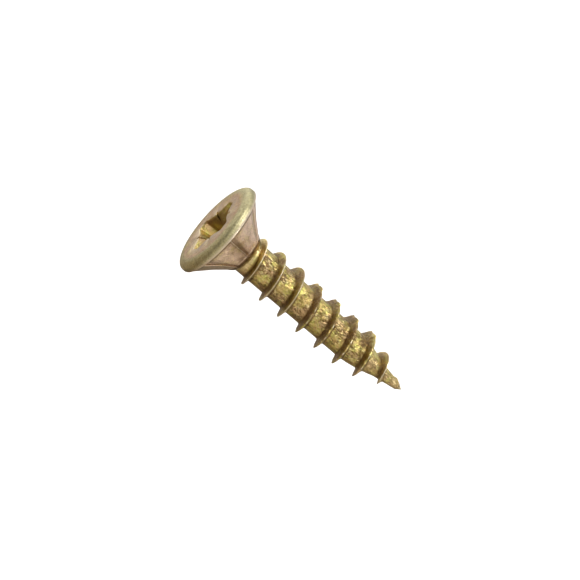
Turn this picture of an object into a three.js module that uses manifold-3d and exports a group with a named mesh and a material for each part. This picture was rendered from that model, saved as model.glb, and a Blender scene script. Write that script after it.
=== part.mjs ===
// Countersunk wood screw, 4 x 20 mm, with a cross recess: one cold-headed, thread-rolled piece of steel.
// Millimetres, +Z up. The screw's axis is Z: the head's flat face lies at z = 0, the point at z = -LENGTH.
// Angles are measured about Z from +X.

import * as THREE from 'three';
import { mergeVertices } from 'three/addons/utils/BufferGeometryUtils.js';
import Module from 'manifold-3d';

// Whole screw
const LENGTH = 19.7;
const SIDES = 48; // facets round the turned body

// Head
const HEAD_RADIUS = 4.0;
const FACE_RADIUS = 3.0; // flat part of the face, inside the rounded edge
const EDGE_DROP = 0.46; // height of the rounded edge
const EDGE_POWER = 0.77; // below 1 the edge is fuller than an ellipse
const EDGE_STEPS = 4;
const RIM_BAND = 0.23; // straight band below the rounded edge
const CONE_WAIST = { radius: 2.63, z: -2.1 }; // where the cone's slope eases
const CONE_END = { radius: 1.45, z: -3.53 };

// Cutting pockets under the head, a ratchet of equal teeth round the cone
const POCKETS = 8;
const POCKET_RAMP = 0.75; // share of a tooth taken by its gentle ramp
const RAMP_DEPTH = 0.07;
const POCKET_DEPTH = 0.2;
const POCKET_TOP = -0.75;
const POCKET_BOTTOM = -3.3;

// Cross recess. Each cut is a bar across the axis: its span from end to end, its width in the middle
// and its width at the ends, at the face and at its floor.
const WINGS = {
  face: { span: 4.52, middle: 2.86, end: 0.88 },
  floor: { span: 2.3, middle: 1.06, end: 0.72 },
  depth: 2.3,
};
const HUB = { // a square set at 45 degrees to the wings
  face: { span: 3.2, middle: 3.2, end: 3.2 },
  floor: { span: 1.4, middle: 1.4, end: 1.4 },
  depth: 1.6,
};
const GROOVES = { // narrow grooves between the wings, which run out on the face
  face: { span: 3.84, middle: 0.16, end: 0.16 },
  floor: { span: 1.8, middle: 0.16, end: 0.16 },
  depth: 0.98,
};
const RECESS_TURN = 13; // degrees from +X to the nearest wing
const CUTTER_RISE = 0.2; // how far the cutters stand above the face

// Shank
const NECK_RADIUS = 1.4;
const CORE_RADIUS = 1.27; // where the shank starts to taper
const NECK_Z = -4.0;
const TAPER_START = -13.8;
const TAPER_CONTROL = { radius: 1.26, z: -15.3 }; // pull of the curve that rounds the shank into the point
const TAPER_END = { radius: 0.62, z: -17.3 };
const POINT_BASE = { radius: 0.3, z: -19.25 };

// Thread: a single right-hand start. Turns are counted down the screw from the crest's first pass over +X.
const PITCH = 1.893;
const FIRST_CREST = -3.755;
const THREAD_FROM = -0.14; // turns
const THREAD_TO = 8.1;
const RUN_IN = 0.18; // turns over which the crest rises out of the neck
const RUN_IN_RADIUS = 1.42;
const CREST_LINE = [ // the crest's radius down the screw: full by the third turn, then down with the point
  { z: -3.7, radius: 1.88 },
  { z: -7.5, radius: 2.0 },
  { z: -15.1, radius: 1.96 },
  { z: -17.1, radius: 1.37 },
  { z: -18.0, radius: 0.84 },
  { z: -19.05, radius: 0.36 },
];
const STEPS_PER_TURN = 33;
const CREST_HALF_WIDTH = 0.055;
const FLANK_SLOPE = Math.tan(THREE.MathUtils.degToRad(19));
const ROOT_BURIAL = 0.14; // how deep the thread's foot is sunk into the shank

// Saw teeth ground into the lower crests
const TEETH_PER_TURN = 11;
const TEETH_FROM = 2.6; // turns
const TEETH_TO = 6.5;
const TOOTH_PHASE = 0.6; // share of a tooth before the first peak
const TOOTH_DROPS = [0, 0.13, 0.1]; // crest drop at the third points of a tooth, from its peak

const STEEL = new THREE.MeshStandardMaterial({ color: 0xb49a72, roughness: 0.34, metalness: 1.0 });

const { lerp, clamp, degToRad } = THREE.MathUtils;

const manifold = await Module();
manifold.setup();

function toSolid(geometry) {
  const plain = geometry.clone();
  plain.deleteAttribute('normal');
  plain.deleteAttribute('uv');
  const merged = mergeVertices(plain, 1e-5);
  return new manifold.Manifold(new manifold.Mesh({
    numProp: 3,
    vertProperties: new Float32Array(merged.attributes.position.array),
    triVerts: new Uint32Array(merged.index.array),
  }));
}

function toGeometry(solid) {
  const mesh = solid.getMesh();
  const geometry = new THREE.BufferGeometry();
  geometry.setAttribute('position', new THREE.BufferAttribute(new Float32Array(mesh.vertProperties), 3));
  geometry.setIndex(new THREE.BufferAttribute(new Uint32Array(mesh.triVerts), 1));
  geometry.computeVertexNormals();
  return geometry;
}

function between(from, to, z) {
  return lerp(from.radius, to.radius, clamp((z - from.z) / (to.z - from.z), 0, 1));
}

const taperCurve = new THREE.QuadraticBezierCurve(
  new THREE.Vector2(CORE_RADIUS, TAPER_START),
  new THREE.Vector2(TAPER_CONTROL.radius, TAPER_CONTROL.z),
  new THREE.Vector2(TAPER_END.radius, TAPER_END.z),
);

// Outline of the turned body from the point up to the centre of the face, as (radius, z)
function bodyOutline() {
  const outline = [
    new THREE.Vector2(0, -LENGTH),
    new THREE.Vector2(POINT_BASE.radius, POINT_BASE.z),
    ...taperCurve.getPoints(4).reverse(),
    new THREE.Vector2(NECK_RADIUS, NECK_Z),
    new THREE.Vector2(CONE_END.radius, CONE_END.z),
    new THREE.Vector2(lerp(CONE_WAIST.radius, CONE_END.radius, 0.8), lerp(CONE_WAIST.z, CONE_END.z, 0.8)),
    new THREE.Vector2(CONE_WAIST.radius, CONE_WAIST.z),
    new THREE.Vector2(HEAD_RADIUS - 0.14, -EDGE_DROP - RIM_BAND - 0.15),
    new THREE.Vector2(HEAD_RADIUS, -EDGE_DROP - RIM_BAND),
  ];
  for (let i = 0; i <= EDGE_STEPS; i += 1) {
    const turn = i / EDGE_STEPS * Math.PI / 2;
    const radius = lerp(FACE_RADIUS, HEAD_RADIUS, Math.cos(turn) ** EDGE_POWER);
    outline.push(new THREE.Vector2(radius, -EDGE_DROP * (1 - Math.sin(turn))));
  }
  outline.push(new THREE.Vector2(0, 0));
  return outline;
}

// Depth of the ratchet under the head at an angle: a gentle ramp, a steeper fall, then a sheer wall
function pocketDepth(angle) {
  const along = THREE.MathUtils.euclideanModulo(-angle / (2 * Math.PI) * POCKETS, 1);
  if (along < POCKET_RAMP) return RAMP_DEPTH * along / POCKET_RAMP;
  return lerp(RAMP_DEPTH, POCKET_DEPTH, (along - POCKET_RAMP) / (1 - POCKET_RAMP));
}

function turnedBody() {
  const geometry = new THREE.LatheGeometry(bodyOutline(), SIDES);
  geometry.rotateX(Math.PI / 2);
  const position = geometry.attributes.position;
  for (let i = 0; i < position.count; i += 1) {
    const z = position.getZ(i);
    if (z > POCKET_TOP || z < POCKET_BOTTOM) continue;
    const x = position.getX(i);
    const y = position.getY(i);
    const radius = Math.hypot(x, y);
    const scale = (radius - pocketDepth(Math.atan2(y, x))) / radius;
    position.setXY(i, x * scale, y * scale);
  }
  return toSolid(geometry);
}

// Radius of the plain shank at a height
function coreRadius(z) {
  if (z > TAPER_START) return between({ radius: NECK_RADIUS, z: NECK_Z }, { radius: CORE_RADIUS, z: TAPER_START }, z);
  if (z < TAPER_END.z) return between(TAPER_END, POINT_BASE, z);
  return taperCurve.getPoint((z - TAPER_START) / (TAPER_END.z - TAPER_START)).x;
}

// Crest radius of the thread, before its saw teeth
function crestRadius(turn) {
  const z = FIRST_CREST - PITCH * turn;
  const below = CREST_LINE.findIndex((station) => z > station.z);
  if (below < 0) return CREST_LINE.at(-1).radius;
  const full = between(CREST_LINE[Math.max(below - 1, 0)], CREST_LINE[Math.max(below, 1)], z);
  return lerp(RUN_IN_RADIUS, full, clamp((turn - THREAD_FROM) / RUN_IN, 0, 1));
}

function toothDrop(turn) {
  if (turn < TEETH_FROM || turn > TEETH_TO) return 0;
  const along = THREE.MathUtils.euclideanModulo(turn * TEETH_PER_TURN - TOOTH_PHASE, 1);
  return TOOTH_DROPS[Math.round(along * TOOTH_DROPS.length) % TOOTH_DROPS.length];
}

// The thread starts as a long box: its length becomes the turns, its height the depth of the thread
// (sunk foot to crest) and its width the thickness of the thread.
function thread() {
  const steps = Math.round((THREAD_TO - THREAD_FROM) * STEPS_PER_TURN);
  const geometry = new THREE.BoxGeometry(1, 1, 1, steps, 1, 1);
  const position = geometry.attributes.position;
  for (let i = 0; i < position.count; i += 1) {
    const turn = lerp(THREAD_FROM, THREAD_TO, position.getX(i) + 0.5);
    const atCrest = position.getY(i) > 0;
    const side = Math.sign(position.getZ(i));
    const z = FIRST_CREST - PITCH * turn;
    const core = coreRadius(z);
    const crest = crestRadius(turn);
    const radius = atCrest ? crest - toothDrop(turn) : core - Math.min(ROOT_BURIAL, core * 0.4);
    const halfWidth = CREST_HALF_WIDTH + (crest - radius) * FLANK_SLOPE;
    const angle = -turn * 2 * Math.PI;
    position.setXYZ(i, radius * Math.cos(angle), radius * Math.sin(angle), z + side * halfWidth);
  }
  return toSolid(geometry);
}

// One bar of the recess, turned about the axis
function barCutter({ face, floor, depth }, turn) {
  const geometry = new THREE.BoxGeometry(1, 1, depth + CUTTER_RISE, 2, 1, 1);
  geometry.translate(0, 0, (CUTTER_RISE - depth) / 2);
  const position = geometry.attributes.position;
  for (let i = 0; i < position.count; i += 1) {
    const down = -position.getZ(i) / depth;
    const out = Math.abs(position.getX(i)) * 2;
    const width = lerp(lerp(face.middle, floor.middle, down), lerp(face.end, floor.end, down), out);
    position.setX(i, position.getX(i) * lerp(face.span, floor.span, down));
    position.setY(i, position.getY(i) * width);
  }
  geometry.rotateZ(degToRad(turn));
  return toSolid(geometry);
}

function crossRecess() {
  const wings = barCutter(WINGS, RECESS_TURN).add(barCutter(WINGS, RECESS_TURN + 90));
  const grooves = barCutter(GROOVES, RECESS_TURN + 45).add(barCutter(GROOVES, RECESS_TURN + 135));
  return wings.add(grooves).add(barCutter(HUB, RECESS_TURN + 45));
}

const screw = new THREE.Mesh(toGeometry(turnedBody().add(thread()).subtract(crossRecess())), STEEL);
screw.name = 'wood_screw';

const part = new THREE.Group();
part.add(screw);

export default part;
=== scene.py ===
"""A yellow-zinc countersunk wood screw, 4 x 20 mm, in a plain white studio."""

import math
from types import SimpleNamespace

import bmesh
import bpy
import numpy as np
from mathutils import Matrix, Vector
from mathutils.geometry import delaunay_2d_cdt


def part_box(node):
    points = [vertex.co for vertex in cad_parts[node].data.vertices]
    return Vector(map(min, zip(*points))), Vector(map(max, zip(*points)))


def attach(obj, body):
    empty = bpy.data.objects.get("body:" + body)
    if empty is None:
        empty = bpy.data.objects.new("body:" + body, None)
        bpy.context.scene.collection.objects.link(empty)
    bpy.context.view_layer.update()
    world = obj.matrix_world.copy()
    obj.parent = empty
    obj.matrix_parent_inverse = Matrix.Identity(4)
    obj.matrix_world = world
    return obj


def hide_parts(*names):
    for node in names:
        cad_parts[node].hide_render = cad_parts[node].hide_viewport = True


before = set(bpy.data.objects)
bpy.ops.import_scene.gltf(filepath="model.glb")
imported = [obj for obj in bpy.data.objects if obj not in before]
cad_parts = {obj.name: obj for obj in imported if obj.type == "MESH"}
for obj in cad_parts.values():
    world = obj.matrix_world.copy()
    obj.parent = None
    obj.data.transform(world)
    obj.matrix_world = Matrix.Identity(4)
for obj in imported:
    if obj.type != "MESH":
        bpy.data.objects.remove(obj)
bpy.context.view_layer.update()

# Everything below is in millimetres until a mesh is written, in the row's frame: the screw's axis is Z,
# its flat face is at z = 0 and its point is at z = -LENGTH. Angles are about Z from +X.
MM = 0.001
NODE = "wood_screw"
screw_low, screw_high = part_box(NODE)
HEAD_RADIUS = (screw_high[0] - screw_low[0]) / 2 / MM
LENGTH = (screw_high[2] - screw_low[2]) / MM

# Mesh fineness
COLUMNS = 216  # vertices round the screw, a multiple of the pockets
CONE_RINGS = 40
EDGE_RINGS = 14
RECESS_LEVELS = 8
WELD_DISTANCE = 0.0002
SHARP_ANGLE = math.radians(38)

# Head
FACE_RADIUS = 3.0
EDGE_DROP = 0.46
RIM_BAND = 0.23
RIM_Z = -EDGE_DROP - RIM_BAND  # lower edge of the rim
RIM_BEVEL = 0.03
RIM_BEVEL_DROP = 0.02
EDGE_POWER = 0.77  # under 1 keeps the rounding shallow near the face
FACE_BORDER = 0.08  # flat ring between the rounding and the face's triangles
CONE_RADII = (HEAD_RADIUS, 2.65, 1.86, 1.45)  # from the rim to the neck
CONE_HEIGHTS = (RIM_Z, -2.1, -3.06, -3.53)
HEAD_BOTTOM = -3.3  # where the head's rings hand over to the thread's mesh

# Ratchet of cutting pockets under the head
POCKETS = 8
FACET_SHARE = 0.77
STEP_UNDER_RIM = 0.05
FACET_SAG = 0.05
POCKET_DEPTH = 0.24
POCKET_TOP = RIM_Z - 0.04
POCKET_FADE = (-3.3, -3.02)
WALL_ANGLE = math.radians(0.35)
# Wear with painted glints on the ratchet walls' edges and on the rim's bevel.
EDGE_WEAR_AND_GLINT = 0.7

# Cross recess, its sizes as (at the mouth, at the floor)
RECESS_DEPTH = 2.3
WING_REACH = (2.26, 1.15)  # from the middle
WING_TIP = (0.44, 0.36)  # half widths
WING_ROOT = (0.78, 0.45)
HUB_REACH = (1.6, 0.7)  # to the walls between the wings
HUB_DEPTH = 1.6
TIP_ROUND = 0.12
TICK_REACH = 1.92  # grooves between the wings, which run out on the face
TICK_SLOPE = 0.96
TICK_HALF_WIDTH = 0.08
RECESS_TURN = math.radians(13)
LIP = 0.05  # small bevel round the recess's mouth
LIP_WEAR = 0.6
FLOOR_CONE = 0.3  # depth of the shallow cone in the recess's floor
FAR_WING = 1.25  # past this x a wing's walls get no painted shade from the mouth down to the next depth
UNSHADED_DEPTH = 0.24

# Shank and point
CORE_STATIONS = ((-3.53, 1.42), (-4.0, 1.4), (-13.8, 1.27))
TAPER = ((1.27, -13.8), (1.26, -15.3), (0.62, -17.3))  # ends and control of the curve, as (radius, z)
POINT_BASE = (0.3, -19.25)
POINT_WEAR = 0.6
NECK_SHADE = (-3.37, -3.15)  # the band under the head that gets painted shade

# Thread
PITCH = 1.893
FIRST_CREST = -3.755
CREST_STATIONS = ((-3.7, 1.88), (-7.5, 2.0), (-15.1, 1.96), (-17.1, 1.37), (-18.0, 0.84), (-19.05, 0.36))
THREAD_START = -0.14  # turns
RUN_IN = 0.18
RUN_IN_RADIUS = 1.42
CREST_HALF_WIDTH = 0.03
FLANK_SLOPE = math.tan(math.radians(19))
ROOT_FILLET = 0.09
FLANK_FOOT = 0.29  # distance from the crest's middle to the thread's root
THREAD_BOTTOM = POINT_BASE[1] - 0.05  # where the thread's mesh hands over to the point
# Distances from the crest's middle where the mesh has a line, out to half a pitch
THREAD_LINES = (0, 0.018, 0.03, 0.05, 0.09, 0.14, 0.18, 0.22, 0.26, 0.29, 0.32, 0.36, 0.42, 0.52, 0.66, 0.8)

# Saw teeth in the lower crests
TEETH_PER_TURN = 11
TEETH_TURNS = (2.6, 6.5)
TOOTH_PHASE = 0.6
TOOTH_DEPTH = 0.15
TOOTH_FALL = 0.2  # share of a tooth taken by its steep side

# Camera: the head leans towards it, and the screw lies across the picture
TILT = math.radians(16.5)
ROLL = math.radians(48.9)
AIM = Vector((0.158, 0.0, -7.88)) * MM
VIEW_WIDTH = 43.8 * MM
CAMERA_DISTANCE = 0.6
SENSOR = 36.0  # mm

# Studio, in metres and watts. Ways are mixes of the camera's (right, up, back), seen from the screw
FLOOR_HALF = 6.0
FLOOR_BELOW_TIP = 0.1
SOFTBOX_DISTANCE = 0.35
SOFTBOXES = (  # name, way, size, power
    ("key", (0.72, 0.42, 0.5), 0.14, 0.5),
    ("top", (0.1, 0.9, 0.4), 0.12, 0.4),
    ("low", (0.9, -0.35, 0.3), 0.1, 0.3),
)
# Parts of the room that the zinc mirrors: way, cosines at the soft edge and at the core, colour.
# Later ones cover earlier ones.
ROOM_PATCHES = (
    ((-0.33, 0.7, -0.63), 0.93, 0.97, (2.0, 2.0, 1.9)),  # mirrored by the tops of the thread's flanks
    ((-0.41, 0.36, -0.84), 0.965, 0.985, (0.54, 0.51, 0.49)),  # by the head's face
    ((0.6, -0.1, -0.8), 0.8, 0.93, (0.84, 0.84, 0.84)),
    ((0.15, -0.6, -0.78), 0.9, 0.95, (0.25, 0.22, 0.17)),  # by the lower part of the cone
    ((-0.75, 0.25, -0.6), 0.93, 0.97, (0.4, 0.3, 0.18)),  # by the lower flanks
    ((0.6, -0.6, -0.53), 0.95, 0.98, (1.5, 1.45, 1.3)),  # by the front of the cone
    ((-0.33, -0.46, -0.82), 0.94, 0.975, (0.1, 0.08, 0.06)),  # by the shank's lower edge
    ((-0.12, -0.8, 0.6), 0.75, 0.92, (0.8, 0.74, 0.68)),
    ((0.0, 0.0, -1.0), 0.93, 0.985, (0.15, 0.13, 0.1)),
    ((-0.64, 0.56, 0.53), 0.82, 0.92, (0.14, 0.14, 0.14)),
    ((0.0, 0.51, 0.86), 0.93, 0.97, (1.3, 1.25, 1.1)),  # by the recess's far end wall
)


def smooth_step(low, high, value):
    share = np.clip((value - low) / (high - low), 0.0, 1.0)
    return share * share * (3 - 2 * share)


def smooth_max(a, b, width):
    return (a + b + np.sqrt((a - b) ** 2 + width**2)) / 2


def along_stations(stations, z):
    heights, radii = zip(*sorted(stations))
    return np.interp(z, heights, radii)


def bezier(points, count):
    start, control, end = (np.array(p) for p in points)
    t = np.linspace(0, 1, count)[:, None]
    return (1 - t) ** 2 * start + 2 * t * (1 - t) * control + t**2 * end


def core_radius(z):
    """Radius of the plain shank and point, without its thread."""
    taper = [(height, radius) for radius, height in bezier(TAPER, 24)[1:]]
    point = [(POINT_BASE[1], POINT_BASE[0]), (-LENGTH, 0.0)]
    return along_stations([*CORE_STATIONS, *taper, *point], z)


def cone_radius(z):
    return along_stations(zip(CONE_HEIGHTS, CONE_RADII), z)


def body_radius(z):
    return np.maximum(core_radius(z), np.where(z > CONE_HEIGHTS[-1], cone_radius(z), 0.0))


def pocket_depth(angle):
    """Depth of the ratchet at an angle: a nearly flat facet, a fall, then a sheer wall."""
    share = np.mod(-angle / (2 * math.pi) * POCKETS, 1.0)
    facet = STEP_UNDER_RIM + FACET_SAG * np.sin(np.clip(share / FACET_SHARE, 0, 1) * math.pi)
    fall = smooth_step(FACET_SHARE, 1.0, share) * (POCKET_DEPTH - STEP_UNDER_RIM)
    return facet + fall


def bell(value, middle, width):
    return np.exp(-(((value - middle) / width) ** 2))


# Painted shade on the band under the head.
def painted_neck_shade(z):
    low, high = NECK_SHADE
    return smooth_step(low - 0.03, low + 0.02, z) * (1 - smooth_step(high - 0.02, high + 0.03, z))


def painted_pocket_shade(angle, z, depth):
    """Painted shade in the deep end of each pocket, just past its wall, and in the step under the rim."""
    share = np.mod(-angle / (2 * math.pi) * POCKETS, 1.0)
    in_facet = 1 - smooth_step(FACET_SHARE, FACET_SHARE + 0.05, share)
    step = bell(z, POCKET_TOP - 0.07, 0.09) * in_facet
    shade_past_wall = bell(share, 0.05, 0.02)
    deep = smooth_step(0.3, 0.65, depth / POCKET_DEPTH) * 0.7
    return np.maximum(np.maximum(step, shade_past_wall), deep)


def tooth_drop(turn):
    """How far the crest is notched at a turn: steep just after each peak, then a gentle rise."""
    share = np.mod(turn * TEETH_PER_TURN - TOOTH_PHASE, 1.0)
    notch = np.minimum(share / TOOTH_FALL, (1 - share) / (1 - TOOTH_FALL))
    start, end = TEETH_TURNS
    toothed = smooth_step(start - 0.1, start, turn) * (1 - smooth_step(end, end + 0.1, turn))
    return TOOTH_DEPTH * notch * toothed


def crest_radius(turn):
    full = along_stations(CREST_STATIONS, FIRST_CREST - PITCH * turn)
    return RUN_IN_RADIUS + (full - RUN_IN_RADIUS) * smooth_step(THREAD_START, THREAD_START + RUN_IN, turn)


class Surface:
    """Collects vertices, their wear with painted glints, their painted shade and whether they line the
    recess, and faces, in millimetres.
    """

    def __init__(self):
        self.points = []
        self.wear_and_glint = []
        self.painted_shade = []
        self.hollow = []
        self.faces = []

    def add(self, points, wear_and_glint, painted_shade, hollow=0.0):
        first = len(self.points)
        self.points.extend(map(tuple, points))
        self.wear_and_glint.extend(np.broadcast_to(wear_and_glint, len(points)).tolist())
        self.painted_shade.extend(np.broadcast_to(painted_shade, len(points)).tolist())
        self.hollow.extend([hollow] * len(points))
        return first

    def join_rings(self, upper, lower, count):
        for i in range(count):
            j = (i + 1) % count
            self.faces.append((upper + i, lower + i, lower + j, upper + j))


def wall_columns(offset):
    """Marks the columns that lie an offset past each ratchet wall."""
    return np.arange(COLUMNS) % (COLUMNS // POCKETS) == offset


def ring_angles(sharp):
    """Angles round a ring. At sharp 1 the column just above each ratchet wall closes up to it."""
    angles = np.arange(COLUMNS) * 2 * math.pi / COLUMNS
    step = 2 * math.pi / COLUMNS
    return angles - np.where(wall_columns(1), (step - WALL_ANGLE) * sharp, 0.0)


def on_circle(radius, angle, z):
    return np.stack([radius * np.cos(angle), radius * np.sin(angle), np.broadcast_to(z, angle.shape)], axis=1)


def add_head(surface):
    """Rings from the neck up over the cone, the rim and the rounded edge. Returns the face's ring."""
    previous = None
    for z in np.linspace(HEAD_BOTTOM, POCKET_TOP, CONE_RINGS):
        window = float(smooth_step(*POCKET_FADE, z))
        angles = ring_angles(window)
        depth = pocket_depth(angles - WALL_ANGLE / 2) * window
        # Wear with a painted glint on the edge of each ratchet wall.
        wear_and_glint = window * EDGE_WEAR_AND_GLINT * wall_columns(0)
        radius = body_radius(np.array(z)) - depth
        # Painted shade in the pockets and on the band under the head.
        painted_shade = np.maximum(painted_pocket_shade(angles, z, depth), painted_neck_shade(z))
        ring = surface.add(on_circle(radius, angles, z), wear_and_glint, painted_shade)
        if previous is not None:
            surface.join_rings(ring, previous, COLUMNS)
        previous = ring
    outline = [
        # The rim's bevel: wear with a painted glint along its edge.
        (HEAD_RADIUS - RIM_BEVEL, RIM_Z - RIM_BEVEL_DROP, EDGE_WEAR_AND_GLINT),
        (HEAD_RADIUS, RIM_Z + RIM_BEVEL, 1.0),
    ]
    for t in np.linspace(0, math.pi / 2, EDGE_RINGS):
        radius = FACE_RADIUS + (HEAD_RADIUS - FACE_RADIUS) * max(math.cos(t), 0.0) ** EDGE_POWER
        outline.append((radius, -EDGE_DROP * (1 - math.sin(t)), 0.0))
    outline.append((FACE_RADIUS - FACE_BORDER, 0.0, 0.0))
    angles = ring_angles(0.0)
    for radius, z, wear_and_glint in outline:
        ring = surface.add(on_circle(np.full(COLUMNS, radius), angles, z), wear_and_glint, 0.0)
        surface.join_rings(ring, previous, COLUMNS)
        previous = ring
    return previous


def recess_outline(depth, lip):
    """Corners of the cross at a depth, anticlockwise: wedge wings, with a groove between each pair."""
    share = depth / RECESS_DEPTH

    def narrowed(sizes, by):
        return sizes[0] + (sizes[1] - sizes[0]) * by + lip

    reach = narrowed(WING_REACH, share)
    tip = narrowed(WING_TIP, share)
    root = narrowed(WING_ROOT, share)
    wall = max(narrowed(HUB_REACH, min(depth / HUB_DEPTH, 1.0)), root * math.sqrt(2) + 0.02)
    corner = wall * math.sqrt(2) - root
    groove = max(TICK_REACH - depth / TICK_SLOPE, wall + 0.01) / math.sqrt(2)
    foot = wall / math.sqrt(2)
    side = (TICK_HALF_WIDTH + lip) / math.sqrt(2)
    quarter = [
        (reach - TIP_ROUND, -tip), (reach, -tip + TIP_ROUND),
        (reach, tip - TIP_ROUND), (reach - TIP_ROUND, tip),
        (corner, root), (foot + side, foot - side), (groove + side, groove - side),
        (groove - side, groove + side), (foot - side, foot + side), (root, corner),
    ]
    points = []
    for turn in range(4):
        angle = RECESS_TURN + turn * math.pi / 2
        cos, sin = math.cos(angle), math.sin(angle)
        points += [(x * cos - y * sin, x * sin + y * cos) for x, y in quarter]
    return np.array(points)


def painted_recess_shade(x, depth):
    """Painted shade on the recess's walls: light on the -X side, and heavy on the +X side below the unshaded
    part near the mouth.
    """
    unshaded_to = np.where(x > FAR_WING, UNSHADED_DEPTH, 0.0)
    light = 0.2 + smooth_step(0.4, 1.6, depth) * 0.5
    heavy = smooth_step(unshaded_to, unshaded_to + 0.16, depth) * 0.85
    return light + (heavy - light) * smooth_step(-0.19, -0.06, x)


def add_recess(surface, face_ring):
    """The cross recess, and the flat face round its mouth. Levels are (depth, widening by the bevel)."""
    levels = [(0.0, LIP), (LIP * 0.4, LIP * 0.3), (LIP, 0.0), (0.2, 0.0), (0.38, 0.0), (0.56, 0.0)]
    levels += [(depth, 0.0) for depth in np.linspace(0.6, RECESS_DEPTH, RECESS_LEVELS)]
    previous = None
    for depth, lip in levels:
        outline = recess_outline(depth, lip)
        points = np.column_stack([outline, np.full(len(outline), -depth)])
        # Painted shade on the recess's walls.
        painted_shade = painted_recess_shade(points[:, 0], depth)
        ring = surface.add(points, LIP_WEAR if lip else 0.0, painted_shade, hollow=float(depth > 0))
        if previous is None:
            mouth = ring
        else:
            surface.join_rings(previous, ring, len(outline))
        previous = ring
    count = len(outline)
    # The recess's floor takes full painted shade.
    bottom = surface.add([(0.0, 0.0, -RECESS_DEPTH - FLOOR_CONE)], 0.0, 1.0, hollow=1.0)
    for i in range(count):
        surface.faces.append((bottom, previous + i, previous + (i + 1) % count))
    add_face(surface, face_ring, mouth, count)


def add_face(surface, face_ring, mouth, mouth_count):
    """Triangles between the face's outer ring and the recess's mouth."""
    outer = list(range(face_ring, face_ring + COLUMNS))
    inner = list(range(mouth, mouth + mouth_count))
    indices = outer + inner
    flat = [Vector(surface.points[i][:2]) for i in indices]
    edges = [(i, (i + 1) % COLUMNS) for i in range(COLUMNS)]
    edges += [(COLUMNS + i, COLUMNS + (i + 1) % mouth_count) for i in range(mouth_count)]
    triangles = delaunay_2d_cdt(flat, edges, [], 0, 1e-7)[2]
    mouth_line = np.array([flat[i] for i in range(COLUMNS, len(indices))])
    for triangle in triangles:
        middle = sum((flat[i] for i in triangle), Vector((0, 0))) / 3
        if not inside(middle, mouth_line):
            surface.faces.append(tuple(indices[i] for i in triangle))


def inside(point, outline):
    """Whether a point is inside a closed outline, by counting the sides that a line from it crosses."""
    start = outline
    end = np.roll(outline, -1, axis=0)
    spans = (start[:, 1] > point[1]) != (end[:, 1] > point[1])
    rise = np.where(spans, end[:, 1] - start[:, 1], 1.0)
    crossing = start[:, 0] + (point[1] - start[:, 1]) / rise * (end[:, 0] - start[:, 0])
    return np.count_nonzero(spans & (crossing > point[0])) % 2 == 1


def painted_flank_shade(offsets):
    """Painted shade along the thread's roots and over its head side, by the distance from the crest's middle.
    """
    root = bell(np.abs(offsets), FLANK_FOOT, 0.07) * 0.7
    shade = 0.35 + 0.5 * smooth_step(0.04, 0.16, offsets)
    head_side = (offsets > CREST_HALF_WIDTH) * (offsets < 0.3) * shade
    return np.maximum(root, head_side)


def add_thread(surface):
    """The shank and thread as one strip wound down the screw, whose lines follow the crest."""
    side = list(THREAD_LINES)
    offsets = np.array([PITCH / 2, *reversed(side[1:]), *[-w for w in side], -PITCH / 2])
    first = math.floor(((FIRST_CREST - PITCH / 2 - HEAD_BOTTOM) / PITCH - 0.02) * COLUMNS)
    last = math.ceil(((FIRST_CREST + PITCH / 2 - THREAD_BOTTOM) / PITCH + 0.02) * COLUMNS)
    flank_shades = painted_flank_shade(offsets)
    previous = None
    for step in range(first, last + 1):
        turn = step / COLUMNS
        z = np.clip(FIRST_CREST - PITCH * turn + offsets, THREAD_BOTTOM, HEAD_BOTTOM)
        core = body_radius(z)
        crest = float(crest_radius(turn))
        top = crest - float(tooth_drop(turn))
        line = crest - np.maximum(np.abs(offsets) - CREST_HALF_WIDTH, 0) / FLANK_SLOPE
        at_end = (z >= HEAD_BOTTOM) | (z <= THREAD_BOTTOM)
        radius = np.where(at_end, core, smooth_max(np.minimum(line, top), core, ROOT_FILLET))
        height = np.clip((radius - core) / max(crest - float(core_radius(z[len(z) // 2])), 0.05), 0, 1)
        # Painted shade on the thread's roots and head side, and on the band under the head.
        painted_shade = np.maximum(flank_shades * smooth_step(0.5, 1.2, crest), painted_neck_shade(z))
        angle = np.full(len(z), -2 * math.pi * step / COLUMNS)
        points = np.stack([radius * np.cos(angle), radius * np.sin(angle), z], axis=1)
        # The crests take wear with a painted glint.
        column = surface.add(points, smooth_step(0.92, 0.99, height), painted_shade)
        if previous is not None:
            for j in range(len(offsets) - 1):
                surface.faces.append((previous + j, column + j, column + j + 1, previous + j + 1))
        previous = column


def add_point(surface):
    """The last cone down to the point."""
    radius = np.full(COLUMNS, float(core_radius(THREAD_BOTTOM)))
    previous = surface.add(on_circle(radius, ring_angles(0.0), THREAD_BOTTOM), 0.0, 0.0)
    tip = surface.add([(0.0, 0.0, -LENGTH)], POINT_WEAR, 0.0)
    for i in range(COLUMNS):
        surface.faces.append((tip, previous + (i + 1) % COLUMNS, previous + i))


def write_mesh(surface, name):
    mesh = bpy.data.meshes.new(name)
    points = np.array(surface.points) * MM
    mesh.from_pydata(points.tolist(), [], surface.faces)
    for label in ("wear_and_glint", "painted_shade", "hollow"):
        layer = mesh.attributes.new(label, "FLOAT", "POINT")
        layer.data.foreach_set("value", getattr(surface, label))
    work = bmesh.new()
    work.from_mesh(mesh)
    bmesh.ops.remove_doubles(work, verts=work.verts, dist=WELD_DISTANCE * MM)
    bmesh.ops.dissolve_degenerate(work, edges=work.edges, dist=WELD_DISTANCE * MM)
    bmesh.ops.recalc_face_normals(work, faces=work.faces)
    for face in work.faces:
        face.smooth = True
    work.to_mesh(mesh)
    work.free()
    mesh.set_sharp_from_angle(angle=SHARP_ANGLE)
    piece = bpy.data.objects.new(name, mesh)
    bpy.context.scene.collection.objects.link(piece)
    return piece


def make_screw():
    surface = Surface()
    face_ring = add_head(surface)
    add_recess(surface, face_ring)
    add_thread(surface)
    add_point(surface)
    return write_mesh(surface, "screw_body")


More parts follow.
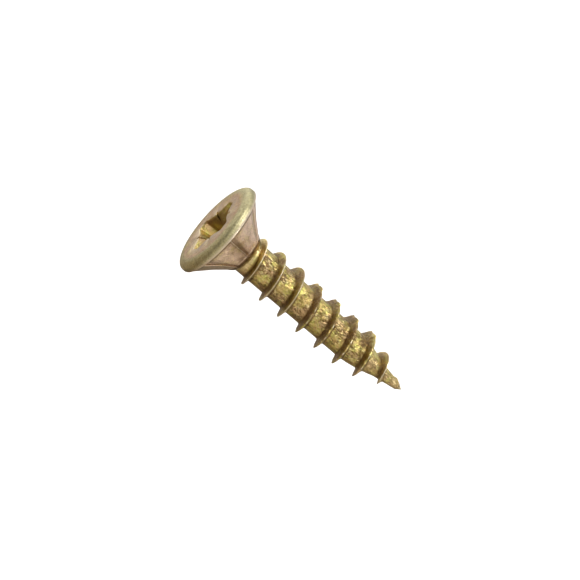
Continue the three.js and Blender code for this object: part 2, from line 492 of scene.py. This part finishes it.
class Nodes:
    """Short names for building a node tree."""

    def __init__(self, tree):
        self.tree = tree
        tree.nodes.clear()

    def add(self, kind, inputs=None, **settings):
        node = self.tree.nodes.new(kind)
        for key, value in settings.items():
            setattr(node, key, value)
        for key, value in (inputs or {}).items():
            self.put(value, node.inputs[key])
        return node

    def put(self, value, socket):
        if isinstance(value, bpy.types.NodeSocket):
            self.tree.links.new(value, socket)
        else:
            socket.default_value = value

    def math(self, operation, *values):
        node = self.add("ShaderNodeMath", operation=operation)
        for value, socket in zip(values, node.inputs):
            self.put(value, socket)
        return node.outputs[0]

    def between(self, value, low, high):
        inputs = {"Value": value, "From Min": low, "From Max": high}
        return self.add("ShaderNodeMapRange", inputs, clamp=True).outputs[0]

    def noise(self, where, scale, detail=4.0, roughness=0.6, distortion=0.0):
        inputs = {"Vector": where, "Scale": scale, "Detail": detail, "Roughness": roughness}
        inputs["Distortion"] = distortion
        return self.add("ShaderNodeTexNoise", inputs).outputs["Fac"]

    def ramp(self, value, *stops):
        """Maps a value through (position, level or colour) stops."""
        node = self.add("ShaderNodeValToRGB", {"Fac": value})
        elements = node.color_ramp.elements
        while len(elements) < len(stops):
            elements.new(0.5)
        for element, (position, level) in zip(elements, stops):
            element.position = position
            element.color = (*level, 1.0) if isinstance(level, tuple) else (level, level, level, 1.0)
        return node.outputs["Color"]

    def mix(self, share, first, second):
        node = self.add("ShaderNodeMix", data_type="RGBA")
        self.put(share, node.inputs["Factor"])
        for value, socket in ((first, node.inputs[6]), (second, node.inputs[7])):
            self.put((*value, 1.0) if isinstance(value, tuple) else value, socket)
        return node.outputs[2]


# Base colours of the zinc, the brown used for its dark mottling and for painted shade, and the bare steel
# shown by wear and painted glints
GOLD = (0.66, 0.47, 0.18)
OLIVE = (0.68, 0.63, 0.18)
PINK = (0.84, 0.62, 0.47)
ROSE = (0.66, 0.43, 0.24)
MAUVE = (0.6, 0.45, 0.36)
SAGE = (0.52, 0.48, 0.28)
BROWN = (0.15, 0.085, 0.03)
BRIGHT = (0.86, 0.76, 0.38)
STEEL = (0.86, 0.77, 0.6)


def zinc_fields(n):
    """The noises, the zones by height and radius in millimetres, and the values kept on the mesh."""
    f = SimpleNamespace()
    place = n.add("ShaderNodeTexCoord").outputs["Object"]
    f.at = n.add("ShaderNodeVectorMath", {0: place, 1: (1 / MM,) * 3}, operation="MULTIPLY").outputs[0]
    for label in ("wear_and_glint", "painted_shade", "hollow"):
        setattr(f, label, n.add("ShaderNodeAttribute", attribute_name=label).outputs["Fac"])
    split = n.add("ShaderNodeSeparateXYZ", {0: f.at})
    f.height = split.outputs["Z"]
    flat = n.add("ShaderNodeCombineXYZ", {"X": split.outputs["X"], "Y": split.outputs["Y"]}).outputs[0]
    radius = n.add("ShaderNodeVectorMath", {0: flat}, operation="LENGTH").outputs["Value"]

    f.patches = n.noise(f.at, 0.9, 3.0)
    f.blotches = n.noise(f.at, 2.6, 5.0, 0.65)
    f.grain = n.noise(f.at, 11.0, 4.0, 0.7)
    drawn = n.add("ShaderNodeMapping", {"Vector": f.at, "Scale": (1.0, 1.0, 0.4)}).outputs[0]
    f.mottle = n.noise(drawn, 4.0, 1.5, 0.5, distortion=0.8)
    folds = n.noise(drawn, 3.4, 3.0, 0.6, distortion=1.0)

    f.head = n.between(f.height, -3.7, -3.3)
    f.near_tip = n.between(f.height, -14.7, -15.4)
    above_thread = n.between(f.height, -4.3, -3.9)
    f.smooth = n.math("MAXIMUM", above_thread, n.math("MULTIPLY", f.near_tip, 0.5))
    f.top = n.between(f.height, -0.7, -0.5)
    f.rim = n.math("MULTIPLY", f.top, n.between(radius, 3.0, 3.35))

    crease = n.math("ABSOLUTE", n.math("SUBTRACT", folds, 0.5))
    crease = n.ramp(crease, (0.0, 1.0), (0.015, 1.0), (0.065, 0.0))
    crease = n.math("MULTIPLY", crease, n.ramp(f.patches, (0.42, 0.0), (0.52, 1.0)))
    f.crease = n.math("MULTIPLY", crease, n.math("MULTIPLY_ADD", f.smooth, -0.8, 1.0))
    return f


def zinc_colour(n, f):
    """Golden and green shank, rosy head with a greenish rim, then mottling, painted shade along creases,
    painted highlights on the neck band and near the tip, painted shade in the pockets, the recess, the
    thread's roots and the neck band, and wear with painted glints.
    """
    shank = n.mix(n.ramp(f.blotches, (0.42, 0.0), (0.6, 1.0)), GOLD, OLIVE)
    shank = n.mix(n.ramp(f.patches, (0.48, 0.0), (0.58, 0.75)), shank, ROSE)
    cap = n.mix(n.ramp(f.blotches, (0.38, 0.0), (0.64, 0.7)), ROSE, MAUVE)
    cap = n.mix(n.ramp(f.patches, (0.48, 0.0), (0.64, 0.4)), cap, OLIVE)
    cone = n.math("SUBTRACT", f.head, f.top)
    cap = n.mix(n.math("MULTIPLY", cone, n.ramp(f.patches, (0.4, 0.9), (0.62, 0.4))), cap, PINK)
    colour = n.mix(f.head, shank, cap)
    colour = n.mix(f.hollow, colour, shank)
    colour = n.mix(f.rim, colour, SAGE)

    strength = n.math("MULTIPLY_ADD", f.head, -0.25, 0.5)
    dark = n.ramp(f.mottle, (0.32, 1.0), (0.46, 0.0))
    light = n.ramp(f.mottle, (0.53, 0.0), (0.66, 1.0))
    colour = n.mix(n.math("MULTIPLY", dark, strength), colour, BROWN)
    colour = n.mix(n.math("MULTIPLY", light, strength), colour, BRIGHT)
    colour = n.mix(n.ramp(f.grain, (0.32, 0.6), (0.5, 0.0), (1.0, 0.0)), colour, BROWN)

    # Painted highlights: a bright band on the neck and a fainter one near the tip.
    neck = n.math("MULTIPLY", n.between(f.height, -3.36, -3.42), n.between(f.height, -3.9, -3.8))
    painted_highlight = n.math("MAXIMUM", neck, n.math("MULTIPLY", f.near_tip, 0.4))
    colour = n.mix(n.math("MULTIPLY", painted_highlight, 0.4), colour, BRIGHT)
    # Painted shade along the creases.
    colour = n.mix(n.math("MULTIPLY", f.crease, 0.65), colour, BROWN)
    # Painted shade from the values kept on the mesh.
    colour = n.mix(n.math("MULTIPLY", f.painted_shade, 0.9), colour, BROWN)
    # Wear and painted glints show bare steel.
    return n.mix(n.math("MULTIPLY", f.wear_and_glint, 0.6), colour, STEEL)


def zinc_relief(n, f):
    """Fine bumps: grain, scratches, mottling, pits and creases, calmer on the neck and near the tip.

    Only fine texture is here: the pockets, teeth and grooves are in the mesh.
    """
    ripple = n.add("ShaderNodeMapping", {"Vector": f.at, "Scale": (1.0, 1.0, 5.0)}).outputs[0]
    scratches = n.noise(ripple, 3.0, 6.0, 0.7)
    pits = n.ramp(n.noise(f.at, 6.0, 3.0, 0.5), (0.28, 0.0), (0.38, 1.0))
    rolled = n.ramp(n.noise(f.at, 0.7, 2.0), (0.42, 0.3), (0.56, 1.4))
    relief = n.math("ADD", n.math("MULTIPLY", f.grain, 0.25), n.math("MULTIPLY", scratches, 0.15))
    relief = n.math("ADD", relief, n.math("MULTIPLY", f.mottle, rolled))
    relief = n.math("ADD", relief, n.math("MULTIPLY", pits, 0.4))
    relief = n.math("SUBTRACT", relief, n.math("MULTIPLY", f.crease, 0.9))
    relief = n.math("MULTIPLY", relief, n.math("MULTIPLY_ADD", f.smooth, -0.75, 1.0))
    inputs = {"Height": relief, "Strength": 1.0, "Distance": 0.09 * MM}
    return n.add("ShaderNodeBump", inputs).outputs[0]


def yellow_zinc():
    """Yellow-passivated zinc on steel."""
    material = bpy.data.materials.new("yellow_zinc")
    material.use_nodes = True
    n = Nodes(material.node_tree)
    f = zinc_fields(n)
    rough = n.math("MULTIPLY_ADD", f.rim, 0.12, n.ramp(f.grain, (0.3, 0.4), (0.7, 0.25)))
    inputs = {"Base Color": zinc_colour(n, f), "Roughness": rough, "Normal": zinc_relief(n, f)}
    shader = n.add("ShaderNodeBsdfPrincipled", {**inputs, "Metallic": 1.0})
    n.add("ShaderNodeOutputMaterial", {"Surface": shader.outputs[0]})
    return material


def floor_white():
    """White that also glows a little, so that the floor stays plain white under the screw."""
    material = bpy.data.materials.new("floor_white")
    material.use_nodes = True
    n = Nodes(material.node_tree)
    shader = n.add(
        "ShaderNodeBsdfPrincipled",
        {
            "Base Color": (0.94, 0.94, 0.94, 1.0),
            "Roughness": 0.8,
            "Emission Color": (1.0, 1.0, 1.0, 1.0),
            "Emission Strength": 0.8,
        },
    )
    n.add("ShaderNodeOutputMaterial", {"Surface": shader.outputs[0]})
    return material


def view_axes():
    """The camera's right, up and back, once leant by TILT and rolled by ROLL."""
    right = Vector((1, 0, 0))
    up = Vector((0, math.sin(TILT), math.cos(TILT)))
    back = Vector((0, -math.cos(TILT), math.sin(TILT)))
    return (
        right * math.cos(ROLL) - up * math.sin(ROLL),
        right * math.sin(ROLL) + up * math.cos(ROLL),
        back,
    )


def facing(position, right, up, back):
    matrix = Matrix((right, up, back)).transposed().to_4x4()
    matrix.translation = position
    return matrix


def add_camera():
    data = bpy.data.cameras.new("camera")
    data.sensor_width = SENSOR
    data.lens = SENSOR * CAMERA_DISTANCE / VIEW_WIDTH
    data.clip_start = 0.01
    data.clip_end = 50.0
    camera = bpy.data.objects.new("camera", data)
    bpy.context.scene.collection.objects.link(camera)
    right, up, back = view_axes()
    camera.matrix_world = facing(AIM + back * CAMERA_DISTANCE, right, up, back)
    bpy.context.scene.camera = camera


def add_floor():
    mesh = bpy.data.meshes.new("floor")
    z = -LENGTH * MM - FLOOR_BELOW_TIP
    corners = [(x * FLOOR_HALF, y * FLOOR_HALF, z) for x, y in ((-1, -1), (1, -1), (1, 1), (-1, 1))]
    mesh.from_pydata(corners, [], [(0, 1, 2, 3)])
    mesh.materials.append(floor_white())
    floor = bpy.data.objects.new("floor", mesh)
    bpy.context.scene.collection.objects.link(floor)
    floor.visible_glossy = False


def add_softbox(name, toward, size, power):
    """A square area light aimed at the screw."""
    data = bpy.data.lights.new(name, "AREA")
    data.size = size
    data.energy = power
    light = bpy.data.objects.new(name, data)
    bpy.context.scene.collection.objects.link(light)
    right, up, back = view_axes()
    way = (right * toward[0] + up * toward[1] + back * toward[2]).normalized()
    light.location = AIM + way * SOFTBOX_DISTANCE
    light.rotation_euler = way.to_track_quat("Z", "Y").to_euler()


def add_world():
    """The room that the zinc mirrors. The camera itself sees plain white."""
    world = bpy.data.worlds.new("studio")
    bpy.context.scene.world = world
    world.use_nodes = True
    n = Nodes(world.node_tree)
    way = n.add("ShaderNodeTexCoord").outputs["Generated"]
    right, up, back = view_axes()
    bright = (right * 0.8 + up * 0.6).normalized()
    toward = n.add("ShaderNodeVectorMath", {0: way, 1: bright}, operation="DOT_PRODUCT").outputs["Value"]
    share = n.math("MULTIPLY_ADD", toward, 0.5, 0.5)
    light = n.ramp(
        share, (0.0, (0.27, 0.19, 0.115)), (0.25, (0.52, 0.455, 0.37)), (0.45, (0.66, 0.6, 0.53)),
        (0.6, (0.7, 0.69, 0.67)), (1.0, (0.64, 0.64, 0.64)),
    )

    for (across, upward, behind), edge, core, colour in ROOM_PATCHES:
        centre = (across * right + upward * up + behind * back).normalized()
        spread = n.add("ShaderNodeVectorMath", {0: way, 1: centre}, operation="DOT_PRODUCT").outputs["Value"]
        light = n.mix(n.between(spread, edge, core), light, colour)
    seen = n.add("ShaderNodeLightPath").outputs["Is Camera Ray"]
    background = n.add("ShaderNodeBackground", {"Color": n.mix(seen, light, (1.0, 1.0, 1.0))})
    n.add("ShaderNodeOutputWorld", {"Surface": background.outputs[0]})


bpy.context.scene.view_settings.view_transform = "Standard"
add_camera()
add_world()
add_floor()
for softbox in SOFTBOXES:
    add_softbox(*softbox)

screw = make_screw()
screw.data.materials.append(yellow_zinc())
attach(screw, "root")
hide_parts(NODE)
